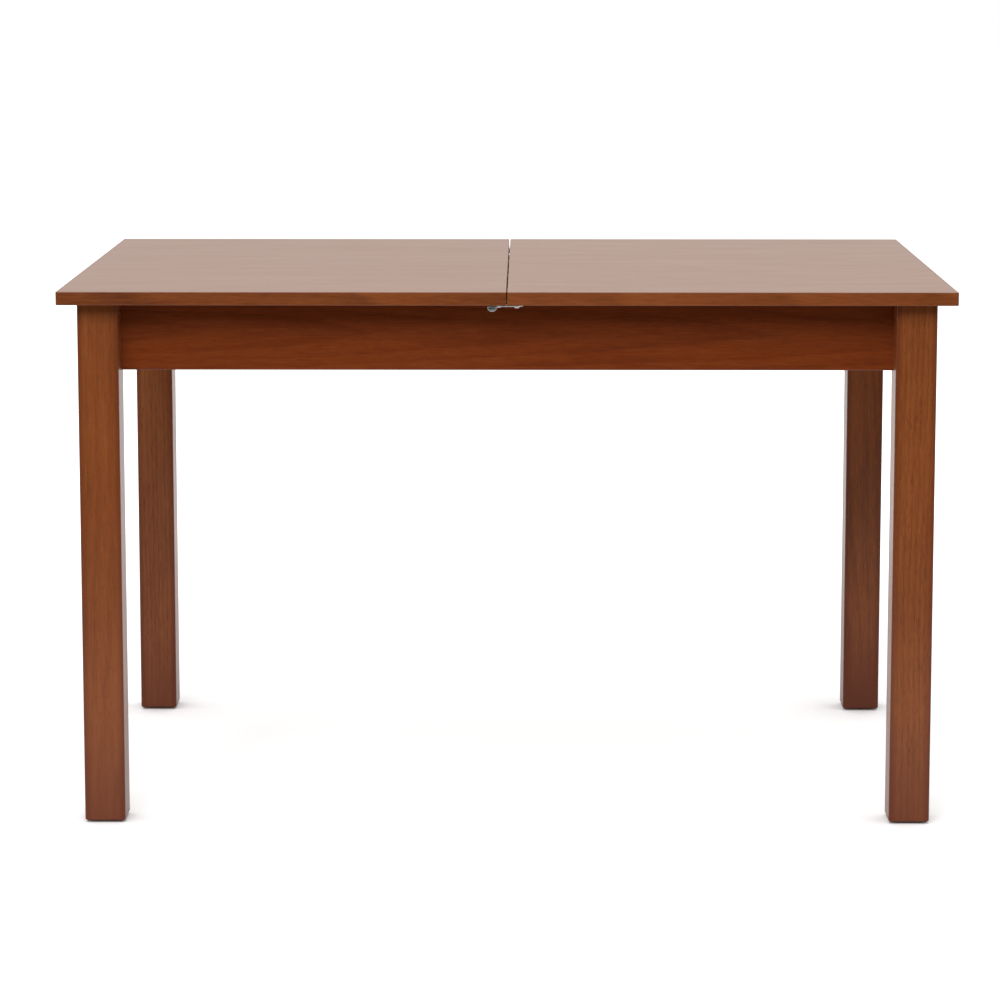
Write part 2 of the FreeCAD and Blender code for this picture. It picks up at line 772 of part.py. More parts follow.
# Alignment dowels: glued into the right half, they enter the left half when it closes
def dowel(spot, direction, reach):
    radius = mm("dims.dowel_diameter / 2")
    seat = mm("dims.dowel_seat")
    nose = radius / 2
    profile = (
        (0, -seat),
        (radius, -seat),
        (radius, reach - nose),
        (radius - nose, reach),
        (0, reach),
    )
    return turned(profile, spot, direction)


def dowel_hole(spot, direction):
    diameter = mm("dims.dowel_diameter + 2 * dims.dowel_play")
    return rod(diameter, mm("dims.dowel_seat + dims.dowel_play"), spot, direction)


def make_top_dowels():
    height = f"{UNDERSIDE} + dims.top_thickness / 2"
    dowels = []
    for number in range(DOWEL_COUNT):
        across = (number - (DOWEL_COUNT - 1) / 2) * mm("dims.dowel_spacing")
        right_spot = FreeCAD.Vector(mm(HALF_SPLIT), across, mm(height))
        left_spot = FreeCAD.Vector(-mm(HALF_SPLIT), across, mm(height))
        dowels.append(dowel(right_spot, -X_AXIS, mm("dims.dowel_reach")))
        bore("top_panel_right", dowel_hole(right_spot, X_AXIS))
        bore("top_panel_left", dowel_hole(left_spot, -X_AXIS))
    group("top_dowels", dowels)


make_top_dowels()


# Leaf: two hinged halves, folded with their undersides together, stored under the split
def make_leaf_half(label, base):
    body = new_body(label)
    board = outline(body, "board", "XY_Plane", rectangle("dims.leaf_width", f"2 * {LEAF_HALF}"))
    pad(body, board, "dims.top_thickness")
    thickness = mm("dims.top_thickness")
    dress(
        body,
        "Fillet",
        "arris",
        "dims.top_arris",
        lambda edge: at_height(edge, 0) or at_height(edge, thickness),
    )
    place(body, "-dims.leaf_width / 2", f"-{LEAF_HALF}", base)


def make_leaf_dowels():
    dowels = []
    for label, base in (("leaf_lower_half", LEAF_BASE), ("leaf_upper_half", f"{LEAF_BASE} + {LEAF_PITCH}")):
        for number in range(DOWEL_COUNT // 2):
            across = mm(LEAF_HALF) - (number + 0.5) * mm("dims.dowel_spacing")
            spot = FreeCAD.Vector(mm("dims.leaf_width / 2"), across, mm(f"{base} + dims.top_thickness / 2"))
            other = FreeCAD.Vector(-spot.x, spot.y, spot.z)
            dowels.append(dowel(other, -X_AXIS, mm("dims.dowel_reach")))
            bore(label, dowel_hole(other, X_AXIS))
            bore(label, dowel_hole(spot, -X_AXIS))
    group("leaf_dowels", dowels)


def make_leaf_hinges():
    """Two butt hinges let into the facing undersides, with their barrels at the fold."""
    length = mm("dims.hinge_length")
    flap = mm("dims.hinge_flap")
    gauge = mm("dims.hinge_gauge")
    barrel = mm("dims.hinge_barrel")
    play = mm("dims.hinge_play")
    pin = mm("dims.hinge_pin")
    fold_y = mm(LEAF_HALF)
    fold_z = mm(f"{LEAF_BASE} + dims.top_thickness + dims.leaf_fold_gap / 2")
    face = mm("dims.leaf_fold_gap / 2")
    knuckle = length / 3
    lower_flaps, upper_flaps, pins, screws = [], [], [], []
    for side in (-1, 1):
        centre = side * mm("dims.leaf_width / 2 - dims.hinge_inset")
        start = FreeCAD.Vector(centre - length / 2, fold_y, fold_z)
        barrel_room = rod(barrel + 2 * play, length + 2 * play, start.sub(X_AXIS * play), X_AXIS)
        pins.append(rod(pin, length, start, X_AXIS))
        pin_room = rod(pin + play, length, start, X_AXIS)
        for label, way, kept, flaps in (
            ("leaf_upper_half", 1, (0, 2), upper_flaps),
            ("leaf_lower_half", -1, (1,), lower_flaps),
        ):
            low = fold_z + (face if way > 0 else -face - gauge)
            plate = Part.makeBox(length, flap, gauge, FreeCAD.Vector(start.x, fold_y - flap, low))
            pocket_low = fold_z if way > 0 else low - play
            pocket = Part.makeBox(
                length + 2 * play,
                flap + play,
                gauge + face + play,
                FreeCAD.Vector(start.x - play, fold_y - flap - play, pocket_low),
            )
            bore(label, pocket.fuse(barrel_room))
            for third in range(3):
                spot = start.add(X_AXIS * (third * knuckle))
                if third in kept:
                    trimmed = play if third == 1 else 0
                    first = spot.add(X_AXIS * trimmed)
                    plate = plate.fuse(rod(barrel, knuckle - 2 * trimmed, first, X_AXIS))
                else:
                    plate = plate.cut(rod(barrel + 2 * play, knuckle, spot, X_AXIS))
            name = "leaf_upper_flaps" if way > 0 else "leaf_lower_flaps"
            flaps.append(plate.cut(pin_room))
            for step in (-1, 1):
                head = FreeCAD.Vector(centre + step * knuckle, fold_y - flap / 2, fold_z + way * face)
                screws.append(small_screw(head, Z_AXIS * way, (name, label)))
    group("leaf_upper_flaps", upper_flaps)
    group("leaf_lower_flaps", lower_flaps)
    group("leaf_hinge_pins", pins)
    group("leaf_hinge_screws", screws)


make_leaf_half("leaf_lower_half", LEAF_BASE)
make_leaf_half("leaf_upper_half", f"{LEAF_BASE} + {LEAF_PITCH}")
make_leaf_dowels()
make_leaf_hinges()


# Bearers: bars between the long aprons, with cleats and fences that keep the leaf in place
def make_bearer(label, side):
    body = new_body(label)
    plan = outline(body, "plan", "XY_Plane", rectangle("dims.bearer_thickness", f"2 * {BAY_Y}"))
    pad(body, plan, "dims.bearer_height")
    dress(body, "Fillet", "arris", "dims.runner_arris", outer_arris(body, Y_AXIS))
    turn = 0 if side < 0 else 180
    place(body, signed(side, BEARER_OUT_X), signed(side, BAY_Y), f"{APRON_BASE} + dims.bearer_rise", turn)


def make_fence(label, side):
    body = new_body(label)
    plan = outline(body, "plan", "XY_Plane", rectangle("dims.fence_thickness", "dims.fence_length"))
    pad(body, plan, "dims.fence_height")
    dress(body, "Fillet", "arris", "dims.runner_arris", outer_arris(body, Y_AXIS))
    turn = 0 if side < 0 else 180
    x = f"({BEARER_OUT_X} + dims.fence_thickness)"
    base = f"{APRON_BASE} + dims.bearer_rise"
    place(body, signed(side, x), signed(side, "dims.fence_length / 2"), base, turn)


def make_cleats():
    size = vector("dims.bearer_thickness", "dims.cleat_thickness", "dims.cleat_height")
    spot = vector(f"-{BEARER_OUT_X}", f"{LEAF_HALF} + dims.leaf_play", LEAF_BASE)
    across = FreeCAD.Vector(spot.x, -spot.y - size.y, spot.z)
    cleats = []
    for corner in (spot, across):
        block = Part.makeBox(size.x, size.y, size.z, corner)
        edges = [edge for edge in block.Edges if at_height(edge, spot.z + size.z)]
        block = block.makeFillet(mm("dims.runner_arris"), edges)
        cleats.extend((block, half_turned(block)))
    group("leaf_cleats", cleats)


def make_brackets():
    """Steel angles in the corners between the bearers and the long aprons."""
    flange = mm("dims.bracket_flange")
    width = mm("dims.bracket_width")
    gauge = mm("dims.bracket_gauge")
    height = mm("dims.bearer_height / 2")
    inner_x = f"({BEARER_OUT_X} - dims.bearer_thickness)"
    bearers = {-1: "left_leaf_bearer", 1: "right_leaf_bearer"}
    base = Part.makeBox(flange, gauge, width)
    upright = Part.makeBox(gauge, flange, width)
    angle = base.fuse(upright).removeSplitter()

    def corner_edges(offset):
        at_corner = FreeCAD.Vector(offset, offset, 0)
        return [
            edge
            for edge in angle.Edges
            if climbs(edge) and at_corner.distanceToLine(edge.Vertexes[0].Point, Z_AXIS) < TOLERANCE
        ]

    angle = angle.makeFillet(BEND_RATIO * gauge, corner_edges(gauge))
    angle = angle.makeFillet((1 + BEND_RATIO) * gauge, corner_edges(0))
    free_ends = [edge for edge in angle.Edges if not climbs(edge) and abs(edge.Length - gauge) < TOLERANCE]
    angle = angle.makeFillet(mm("dims.bracket_corner_radius"), free_ends)
    brackets, screws = [], []
    for name, side_x, side_y, turn in CORNERS:
        corner = turn_placement(side_x, side_y, turn, inner_x, BAY_Y, f"{APRON_BASE} + dims.bearer_rise")
        lift = FreeCAD.Placement(FreeCAD.Vector(0, 0, height - width / 2), FreeCAD.Rotation())
        bracket = angle.copy()
        bracket.Placement = corner.multiply(lift)
        brackets.append(bracket)
        along = (flange + gauge) / 2
        for spot, inward in (
            (FreeCAD.Vector(along, gauge, height), -Y_AXIS),
            (FreeCAD.Vector(gauge, along, height), -X_AXIS),
        ):
            direction = corner.Rotation.multVec(inward)
            lengthways = abs(direction.y) > abs(direction.x)
            wood = LONG_APRONS[side_y] if lengthways else bearers[side_x]
            screws.append(small_screw(corner.multVec(spot), direction, ("bearer_brackets", wood)))
    group("bearer_brackets", brackets)
    group("bracket_screws", screws)


make_bearer("left_leaf_bearer", -1)
make_bearer("right_leaf_bearer", 1)
make_fence("left_leaf_fence", -1)
make_fence("right_leaf_fence", 1)
make_cleats()
make_brackets()


# Swing hooks: stamped plates that turn on a screw in one half and catch a keeper in the other
def make_hook(label, side):
    body = new_body(label)
    back = "(dims.tab_step + dims.hook_width)"
    nose = "(dims.tab_step + dims.hook_nose_width)"
    end = "(dims.hook_reach + dims.hook_width / 2)"
    stud = "(dims.pin_diameter / 2 + dims.keeper_play)"
    slot_left = f"(dims.hook_reach - dims.keeper_radius - {stud})"
    swing = "(dims.keeper_radius * (1 - cos(dims.hook_release_angle * 1 deg)))"
    slot_right = f"(dims.hook_reach - dims.keeper_radius + {swing} + {stud})"
    slot_floor = f"(dims.tab_step + dims.hook_width / 2 - {stud})"
    points = (
        ("0", "dims.tab_step"),
        (end, "dims.tab_step"),
        (end, back),
        (slot_right, back),
        (slot_right, slot_floor),
        (slot_left, slot_floor),
        (slot_left, nose),
        ("0", nose),
    )
    plate = outline(body, "plate", "XY_Plane", points, lift="dims.tab_drop")
    pad(body, plate, "dims.hook_gauge")
    tab = outline(body, "tab", "XZ_Plane", rectangle("dims.tab_width", "dims.tab_drop + dims.hook_gauge"))
    pad(body, tab, "dims.tab_step + dims.hook_gauge", backwards=True)
    bend = outline(
        body,
        "relief",
        "YZ_Plane",
        (
            ("dims.hook_gauge", "0"),
            ("dims.tab_step + 2 * dims.hook_gauge", "0"),
            ("dims.tab_step + 2 * dims.hook_gauge", "dims.tab_drop"),
            ("dims.hook_gauge", "dims.tab_drop"),
        ),
    )
    before = body.Shape.Volume
    relief = body.newObject("PartDesign::Pocket", label + "_relief_cut")
    relief.Profile = bend
    relief.Reversed = True
    relief.setExpression("Length", "dims.tab_width")
    doc.recompute()
    if body.Shape.Volume >= before:
        raise RuntimeError(f"the relief behind the tab of {label} cuts nothing")

    def beside(edge, x, y):
        spot = edge.Vertexes[0].Point
        at_corner = abs(spot.x - mm(x)) < TOLERANCE and abs(spot.y - mm(y)) < TOLERANCE
        return runs_along(edge, Z_AXIS) and at_corner

    dress(
        body,
        "Fillet",
        "round_end",
        f"{FULL_ROUND_RATIO} * dims.hook_width",
        lambda e: beside(e, end, "dims.tab_step") or beside(e, end, back),
    )
    slot_round = f"{FULL_ROUND_RATIO} * ({slot_right} - {slot_left})"
    dress(
        body,
        "Fillet",
        "slot_root",
        slot_round,
        lambda e: beside(e, slot_left, slot_floor) or beside(e, slot_right, slot_floor),
    )
    dress(body, "Fillet", "nose", "dims.hook_nose_radius", lambda e: beside(e, "0", nose))
    dress(body, "Fillet", "shoulder", "dims.hook_nose_radius", lambda e: beside(e, slot_right, back))
    dress(
        body,
        "Fillet",
        "tab_round",
        f"{FULL_ROUND_RATIO} * dims.tab_width",
        lambda e: runs_along(e, Y_AXIS) and at_height(e, 0),
    )
    top = mm("dims.tab_drop + dims.hook_gauge")
    dress(
        body,
        "Fillet",
        "bend",
        f"{BEND_RATIO} * dims.hook_gauge",
        lambda e: runs_along(e, X_AXIS) and at_height(e, top) and abs(e.Vertexes[0].Point.y) < TOLERANCE,
    )
    plate_base = mm("dims.tab_drop")

    def free_edge(edge):
        beyond_tab = min(vertex.X for vertex in edge.Vertexes) > mm("dims.tab_width") - TOLERANCE
        on_front = abs(edge.Vertexes[0].Y - mm("dims.tab_step")) < TOLERANCE
        return runs_along(edge, X_AXIS) and at_height(edge, plate_base) and beyond_tab and on_front

    dress(body, "Fillet", "free_edge", "dims.hook_edge_radius", free_edge)
    corner_x = "(dims.hook_pivot_offset - dims.hook_reach)"
    corner_y = "(dims.top_width / 2 - dims.hook_inset)"
    turn = 0 if side < 0 else 180
    place(body, signed(-side, corner_x), signed(side, corner_y), f"{HOOK_BASE} - dims.tab_drop", turn)


def dish_tabs():
    """A shallow dish in the face of each tab, where a finger pulls."""
    radius = FULL_ROUND_RATIO * mm("dims.tab_width")
    rim = radius - mm("dims.dish_rim")
    depth = mm("dims.dish_depth")
    ball = (rim ** 2 + depth ** 2) / (2 * depth)
    middle = vector(
        "dims.hook_pivot_offset - dims.hook_reach + dims.tab_width / 2",
        "dims.hook_inset - dims.top_width / 2",
        f"{HOOK_BASE} - dims.tab_drop + {FULL_ROUND_RATIO} * dims.tab_width",
    )
    lower_half = Part.makeBox(2 * rim, 2 * depth, rim, middle.sub(FreeCAD.Vector(rim, depth, rim)))
    dish = Part.makeSphere(ball, middle.sub(Y_AXIS * (ball - depth))).common(lower_half)
    bore("front_hook", dish)
    bore("rear_hook", half_turned(dish))


def hook_screw(spot):
    """A round-headed screw that hangs below the top, with its head under the hook."""
    shank = mm("dims.pin_diameter / 2")
    head = mm("dims.pin_head_diameter / 2")
    seat = mm("dims.hook_gap + dims.hook_gauge + dims.pin_head_gap")
    crown = mm("dims.pin_head_height")
    depth = mm("dims.pin_depth")
    stem = [(0, -depth), (shank, -depth), (shank, seat)]
    dome = [(across * head, seat + up * crown) for across, up in ROUND_HEAD]
    screw = turned(stem + dome, spot, -Z_AXIS)
    return screw.cut(cross_recess(spot.sub(Z_AXIS * (seat + crown)), Z_AXIS, 2 * head))


def make_hook_screws():
    """The pivots and keepers, the rear pair turned half round from the front pair."""
    pivot = vector("dims.hook_pivot_offset", f"-{PIVOT_Y}", UNDERSIDE)
    release = math.radians(mm("dims.hook_release_angle"))
    radius = mm("dims.keeper_radius")
    swing = FreeCAD.Vector(-radius * math.cos(release), radius * math.sin(release), 0)
    keeper = pivot.add(swing)
    fit = mm("dims.screw_fit")
    for name, spot, front_half, rear_half in (
        ("pivot_screw", pivot, "top_panel_right", "top_panel_left"),
        ("keeper_screw", keeper, "top_panel_left", "top_panel_right"),
    ):
        screw = hook_screw(spot)
        hole = rod(mm("dims.pin_diameter") + 2 * fit, mm("dims.pin_depth") + fit, spot, Z_AXIS)
        group(f"front_hook_{name}", [screw])
        group(f"rear_hook_{name}", [half_turned(screw)])
        bore(front_half, hole)
        bore(rear_half, half_turned(hole))
    eye = rod(mm("dims.pin_diameter + 2 * dims.pin_play"), mm("dims.tab_drop"), pivot, -Z_AXIS)
    bore("front_hook", eye)
    bore("rear_hook", half_turned(eye))


make_hook("front_hook", -1)
make_hook("rear_hook", 1)
dish_tabs()
make_hook_screws()


# Each sub-part, drilled where a fastener, dowel or pivot passes through it
sub_parts = {}
for label, piece in pieces.items():
    finished = piece
    if label in bores:
        drill = doc.addObject("Part::Feature", label + "_bores")
        drill.Shape = Part.makeCompound(bores[label])
        finished = doc.addObject("Part::Cut", label + "_drilled")
        finished.Base = piece
        finished.Tool = drill
    finished.Label = label
    sub_parts[label] = finished
doc.recompute()

for thing in doc.Objects:
    if {"Invalid", "Error"} & set(thing.State):
        raise RuntimeError(f"{thing.Name} failed: {thing.State}")
for label, finished in sub_parts.items():
    shape = finished.Shape
    if shape.isNull() or not shape.isValid() or not shape.Solids:
        raise RuntimeError(f"{label} has no valid solid")

os.makedirs("parts", exist_ok=True)
for label, finished in sub_parts.items():
    finished.Shape.exportStep(f"parts/{label}.step")
print(f"wrote {len(sub_parts)} sub-parts")
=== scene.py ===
import json
import math

import bmesh
import bpy
from mathutils import Euler, Matrix, Vector


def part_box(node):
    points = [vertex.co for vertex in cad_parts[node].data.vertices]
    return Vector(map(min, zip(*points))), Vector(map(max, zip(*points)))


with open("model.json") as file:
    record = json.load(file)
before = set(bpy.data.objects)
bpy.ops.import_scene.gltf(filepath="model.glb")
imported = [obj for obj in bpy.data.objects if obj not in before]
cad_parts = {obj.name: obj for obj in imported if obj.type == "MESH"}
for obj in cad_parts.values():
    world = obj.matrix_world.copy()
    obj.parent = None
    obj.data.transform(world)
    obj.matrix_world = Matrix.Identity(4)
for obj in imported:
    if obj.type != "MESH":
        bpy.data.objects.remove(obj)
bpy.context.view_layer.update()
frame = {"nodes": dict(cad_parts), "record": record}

# Extending dining table: finishes, studio and camera. Lengths are in metres, colours are linear.

# Place of a wood's even tone between its deepest tone at 0 and its palest at 1
EVEN_TONE = 0.5
# Mean of a noise, and the direction in which a seed moves it
NOISE_MEAN = 0.5
SEED_DIRECTION = (1.0, 0.7, 1.3)
# Stained wood: tones from the deepest to the palest, the lean, spacing and strength of the growth rings,
# the strength of broad clouds in the wood, how strongly the whole figure shows and how much the pores do,
# and the roughness and index of the lacquer
STAINS = {
    "leg": {
        "tones": ((0.085, 0.018, 0.0035), (0.216, 0.056, 0.0115), (0.318, 0.101, 0.027)),
        "lean": 0.012,
        "spacing": 0.0065,
        "rings": 0.2,
        "clouds": 0.7,
        "contrast": 0.8,
        "pores": 0.6,
        "roughness": 0.36,
        "index": 1.38,
    },
    "apron": {
        "tones": ((0.072, 0.012, 0.002), (0.168, 0.03, 0.004), (0.25, 0.056, 0.0095)),
        "lean": 0.03,
        "spacing": 0.008,
        "rings": 0.22,
        "clouds": 0.45,
        "contrast": 1.05,
        "pores": 0.4,
        "roughness": 0.31,
        "index": 1.38,
    },
    "top": {
        "tones": ((0.085, 0.025, 0.0065), (0.185, 0.064, 0.0165), (0.29, 0.117, 0.035)),
        "lean": 0.05,
        "spacing": 0.012,
        "rings": 0.25,
        "clouds": 0.38,
        "contrast": 0.64,
        "pores": 0.3,
        "roughness": 0.33,
        "index": 1.45,
    },
}
# How strongly the figure shows on the lippings of the top
LIPPING_CONTRAST = 1.1
# How far the gloss of the lacquer wanders, and how much rougher it is in pores and on end grain
GLOSS_CHANGE = 0.06
PORE_ROUGHNESS = 0.1
END_ROUGHNESS = 0.2
# How much of the deep tone end grain takes up
END_STAIN = 0.6
# Darker tone of gathered stain and painted shade, and how much of it shows on rounded edges and along a
# leg's sides
STAIN_AND_SHADE_TONE = (0.125, 0.0225, 0.003)
STAIN_AND_SHADE_ON_EDGES = 0.75
STAIN_AND_SHADE_ALONG_SIDES = 0.8
# Where it starts and is fullest, as shares of the way from the middle of the leg to its side or foot; at
# the foot it is painted shade
SIDE_START = 0.6
SIDE_FULL = 1.05
FOOT_START = 0.5
FOOT_FULL = 1.0
# Relief of the pores under the lacquer: strength and depth
PORE_RELIEF = 0.15
PORE_DEPTH = 0.0002

# Unstained timber inside the frame
TIMBER_TONES = {
    "rail": ((0.36, 0.22, 0.115), (0.53, 0.36, 0.205), (0.66, 0.49, 0.31)),
    "dowel": ((0.42, 0.27, 0.14), (0.58, 0.41, 0.24), (0.7, 0.54, 0.35)),
}
TIMBER_FIGURE = {"lean": 0.01, "spacing": 0.005, "rings": 0.3, "clouds": 0.7}
TIMBER_PITH = (0.03, -0.04)
TIMBER_PORES = 0.4
TIMBER_ROUGHNESS = 0.62
TIMBER_PORE_ROUGHNESS = 0.15
TIMBER_INDEX = 1.4
# Relief of its figure: strength and depth, and how much of it the pores take up
TIMBER_RELIEF = 0.2
TIMBER_DEPTH = 0.00025
TIMBER_PORE_SHARE = 0.5

# Noises of the wood: frequency along and across the grain, detail, roughness and offset of the seed
WOOD_NOISES = {
    "wander": (2.2, 14.0, 2.0, 0.5, 0.0),
    "ripple": (9.0, 60.0, 2.0, 0.5, 3.0),
    "clouds": (3.5, 16.0, 3.0, 0.55, 11.0),
    "streaks": (4.0, 260.0, 3.0, 0.6, 23.0),
    "flecks": (48.0, 430.0, 2.0, 0.6, 29.0),
    "fibres": (22.0, 1100.0, 2.0, 0.55, 37.0),
    "pores": (80.0, 950.0, 1.0, 0.5, 53.0),
    "gloss": (8.0, 40.0, 2.0, 0.5, 71.0),
}
# How far growth rings wander and ripple, how steeply a ring deepens, the share of it in which it fades, and
# its mean, which is taken off so that rings leave the even tone as it is
RING_WANDER = 0.016
RING_RIPPLE = 0.0022
RING_RISE = 2.2
RING_FADE = 0.16
RING_MEAN = 0.25
# Strength of the fine figure, and the noise at which pores start and are fullest
STREAKS = 0.28
FLECKS = 0.5
FIBRES = 0.4
PORE_START = 0.12
PORE_FULL = 0.24
# Seeds of the wood's noises: the first of the aprons and of the panels, and the steps from piece to piece
LEG_SEED_STEP = 5.0
FIRST_APRON_SEED = 31.0
APRON_SEED_STEP = 7.0
FIRST_PANEL_SEED = 83.0
PANEL_SEED_STEP = 9.0
TIMBER_SEED_STEP = 3.0

# Metal: how far brush marks and bloom change the roughness, and the relief and depth of the marks
MARK_ROUGHNESS = 0.16
BLOOM_ROUGHNESS = 0.12
MARK_RELIEF = 0.08
MARK_DEPTH = 0.00006

# Plastic: roughness and how far rubbed spots change it, index, and the relief and depth of its fine texture
PLASTIC_ROUGHNESS = 0.5
RUBBED_ROUGHNESS = 0.2
PLASTIC_INDEX = 1.5
PLASTIC_RELIEF = 0.15
PLASTIC_DEPTH = 0.00008

X_AXIS = (1.0, 0.0, 0.0)
Y_AXIS = (0.0, 1.0, 0.0)
Z_AXIS = (0.0, 0.0, 1.0)
# Turns that bring the grain of a board to the X axis of its pattern
GRAIN_TURNS = {
    "x": (0.0, 0.0, 0.0),
    "y": (0.0, 0.0, -math.pi / 2),
    "z": (0.0, math.pi / 2, 0.0),
    "falling": (0.0, 0.0, math.pi / 4),
    "rising": (0.0, 0.0, -math.pi / 4),
}

# Camera, with its yaw and pitch in degrees, and its lens and sensor in millimetres
CAMERA_PLACE = (0.0275, -4.9916, 1.2084)
CAMERA_YAW = -0.455
CAMERA_PITCH = 8.051
CAMERA_LENS = 125.2
SENSOR_WIDTH = 36.0
CAMERA_SHIFT = -0.08


class Field:
    """What one node puts out. Arithmetic on the numbers of a field adds Math nodes."""

    def __init__(self, nodes, socket):
        self.nodes = nodes
        self.socket = socket

    def maths(self, operation, first, second):
        return self.nodes.add("ShaderNodeMath", {"operation": operation}, {0: first, 1: second})

    def __add__(self, other):
        return self.maths("ADD", self, other)

    def __radd__(self, other):
        return self.maths("ADD", other, self)

    def __sub__(self, other):
        return self.maths("SUBTRACT", self, other)

    def __rsub__(self, other):
        return self.maths("SUBTRACT", other, self)

    def __mul__(self, other):
        return self.maths("MULTIPLY", self, other)

    def __rmul__(self, other):
        return self.maths("MULTIPLY", other, self)

    def __truediv__(self, other):
        return self.maths("DIVIDE", self, other)

    def __pow__(self, other):
        return self.maths("POWER", self, other)

    def __abs__(self):
        return self.maths("ABSOLUTE", self, 0.0)

    def larger(self, other):
        return self.maths("MAXIMUM", self, other)

    def smaller(self, other):
        return self.maths("MINIMUM", self, other)

    def part(self, name):
        """Another output of the same node."""
        return Field(self.nodes, self.socket.node.outputs[name])


class Nodes:
    """The node tree of a finish or of the surround."""

    def __init__(self, tree):
        self.tree = tree

    def add(self, kind, settings=None, sockets=None, output=0):
        """Add a node, make its settings, feed its sockets, and give one of its outputs."""
        node = self.tree.nodes.new(kind)
        for name, value in (settings or {}).items():
            if name == "stops":
                self.set_stops(node.color_ramp, value)
            else:
                setattr(node, name, value)
        for name, value in (sockets or {}).items():
            self.feed(node.inputs[name], value)
        return Field(self, node.outputs[output])

    def set_stops(self, ramp, stops):
        """Give a colour ramp its stops, each a position and a colour."""
        while len(ramp.elements) < len(stops):
            ramp.elements.new(1.0)
        for element, (position, colour) in zip(ramp.elements, stops):
            element.position = position
            element.color = rgba(colour)

    def feed(self, socket, value):
        """Link a field to a socket, or set the socket to a value."""
        if isinstance(value, Field):
            self.tree.links.new(value.socket, socket)
        else:
            socket.default_value = value

    def noise(self, place, scale, detail, roughness, seed):
        """Noise from 0 to 1, with a frequency for each direction."""
        start = [seed * share for share in SEED_DIRECTION]
        stretched = self.add(
            "ShaderNodeMapping",
            {"vector_type": "POINT"},
            {"Vector": place, "Location": start, "Scale": scale},
        )
        return self.add(
            "ShaderNodeTexNoise",
            None,
            {"Vector": stretched, "Scale": 1.0, "Detail": detail, "Roughness": roughness},
        )

    def step(self, value, low, high):
        """A smooth step from 0 at low to 1 at high."""
        return self.add(
            "ShaderNodeMapRange",
            {"interpolation_type": "SMOOTHSTEP"},
            {"Value": value, "From Min": low, "From Max": high},
        )

    def blend_colour(self, share, first, second):
        """The first colour, with a share of the second."""
        return self.add("ShaderNodeMix", {"data_type": "RGBA"}, {0: share, 6: first, 7: second}, output=2)

    def blend_place(self, share, first, second):
        """The first place, with a share of the second."""
        return self.add("ShaderNodeMix", {"data_type": "VECTOR"}, {0: share, 4: first, 5: second}, output=1)

    def axes(self, vector):
        """The three numbers of a vector."""
        split = self.add("ShaderNodeSeparateXYZ", None, {0: vector})
        return [split.part(name) for name in "XYZ"]


class Finish(Nodes):
    """A material with one Principled shader."""

    def __init__(self, name):
        self.material = bpy.data.materials.new(name)
        self.material.use_nodes = True
        super().__init__(self.material.node_tree)
        self.shader = self.tree.nodes["Principled BSDF"]

    def set(self, **values):
        """Feed sockets of the shader, by their names with underscores."""
        for name, value in values.items():
            self.feed(self.shader.inputs[name.replace("_", " ")], value)

    def bump(self, height, strength, distance):
        """Raise the surface by a height from 0 to 1."""
        sockets = {"Height": height, "Strength": strength, "Distance": distance}
        self.set(Normal=self.add("ShaderNodeBump", None, sockets))

    def object_place(self):
        """The place on the piece, in the part's own frame."""
        return self.add("ShaderNodeTexCoord", output="Object")

    def object_normal(self):
        """The way the surface faces, in the part's own frame."""
        return self.add("ShaderNodeTexCoord", output="Normal")


def rgba(colour):
    """A colour with its alpha, as sockets and ramps take it."""
    return (*colour, 1.0)


# Wood
def grain_place(finish, middle, grain):
    """The place on a board, measured from its middle, with X along the grain."""
    turn = Euler(GRAIN_TURNS[grain])
    start = -(turn.to_matrix() @ middle)
    return finish.add(
        "ShaderNodeMapping",
        {"vector_type": "POINT"},
        {"Vector": finish.object_place(), "Location": start, "Rotation": turn},
    )


def facing(finish, axis):
    """How squarely the surface faces along an axis, from 0 to 1, either way."""
    sockets = {0: finish.object_normal(), 1: axis}
    return abs(finish.add("ShaderNodeVectorMath", {"operation": "DOT_PRODUCT"}, sockets, output="Value"))


def wood_noise(finish, place, name, seed):
    """One of the noises of the wood, from about -0.5 to 0.5."""
    along, across, detail, roughness, offset = WOOD_NOISES[name]
    return finish.noise(place, (along, across, across), detail, roughness, seed + offset) - NOISE_MEAN


def growth_rings(finish, place, pith, lean, spacing, seed):
    """Rings round a pith that leans away along the board, from 0 in early wood to 1 in late wood."""
    along, across, up = finish.axes(place)
    wander = wood_noise(finish, place, "wander", seed) * RING_WANDER
    ripple = wood_noise(finish, place, "ripple", seed) * RING_RIPPLE
    sideways = across - along * lean - pith[0]
    upwards = up - pith[1]
    radius = (sideways * sideways + upwards * upwards) ** 0.5
    count = (radius + wander + ripple) / spacing
    fraction = finish.add("ShaderNodeMath", {"operation": "FRACT"}, {0: count})
    return (fraction ** RING_RISE) * finish.step(1.0 - fraction, 0.0, RING_FADE)


def wood_figure(finish, place, pith, figure, seed):
    """How much paler or deeper the wood is than its even tone, and its pores from 0 to 1."""
    rings = growth_rings(finish, place, pith, figure["lean"], figure["spacing"], seed)
    change = (
        wood_noise(finish, place, "clouds", seed) * figure["clouds"]
        + wood_noise(finish, place, "streaks", seed) * STREAKS
        + wood_noise(finish, place, "flecks", seed) * FLECKS
        + wood_noise(finish, place, "fibres", seed) * FIBRES
        - (rings - RING_MEAN) * figure["rings"]
    )
    pores = finish.step(wood_noise(finish, place, "pores", seed), PORE_START, PORE_FULL)
    return change, pores


def leg_stain_and_shade(finish, place, size, shade_at_foot):
    """Darker tone on a leg: gathered stain and painted shade along the sides of its faces, painted shade at
    its foot, 0 elsewhere.
    """
    along, across, up = finish.axes(place)
    length, width, depth = size
    beside = (abs(across) / (width / 2)).smaller(abs(up) / (depth / 2))
    sides = finish.step(beside, SIDE_START, SIDE_FULL)
    foot = finish.step(along / (-length / 2), FOOT_START, FOOT_FULL)
    return sides * STAIN_AND_SHADE_ALONG_SIDES + foot * shade_at_foot


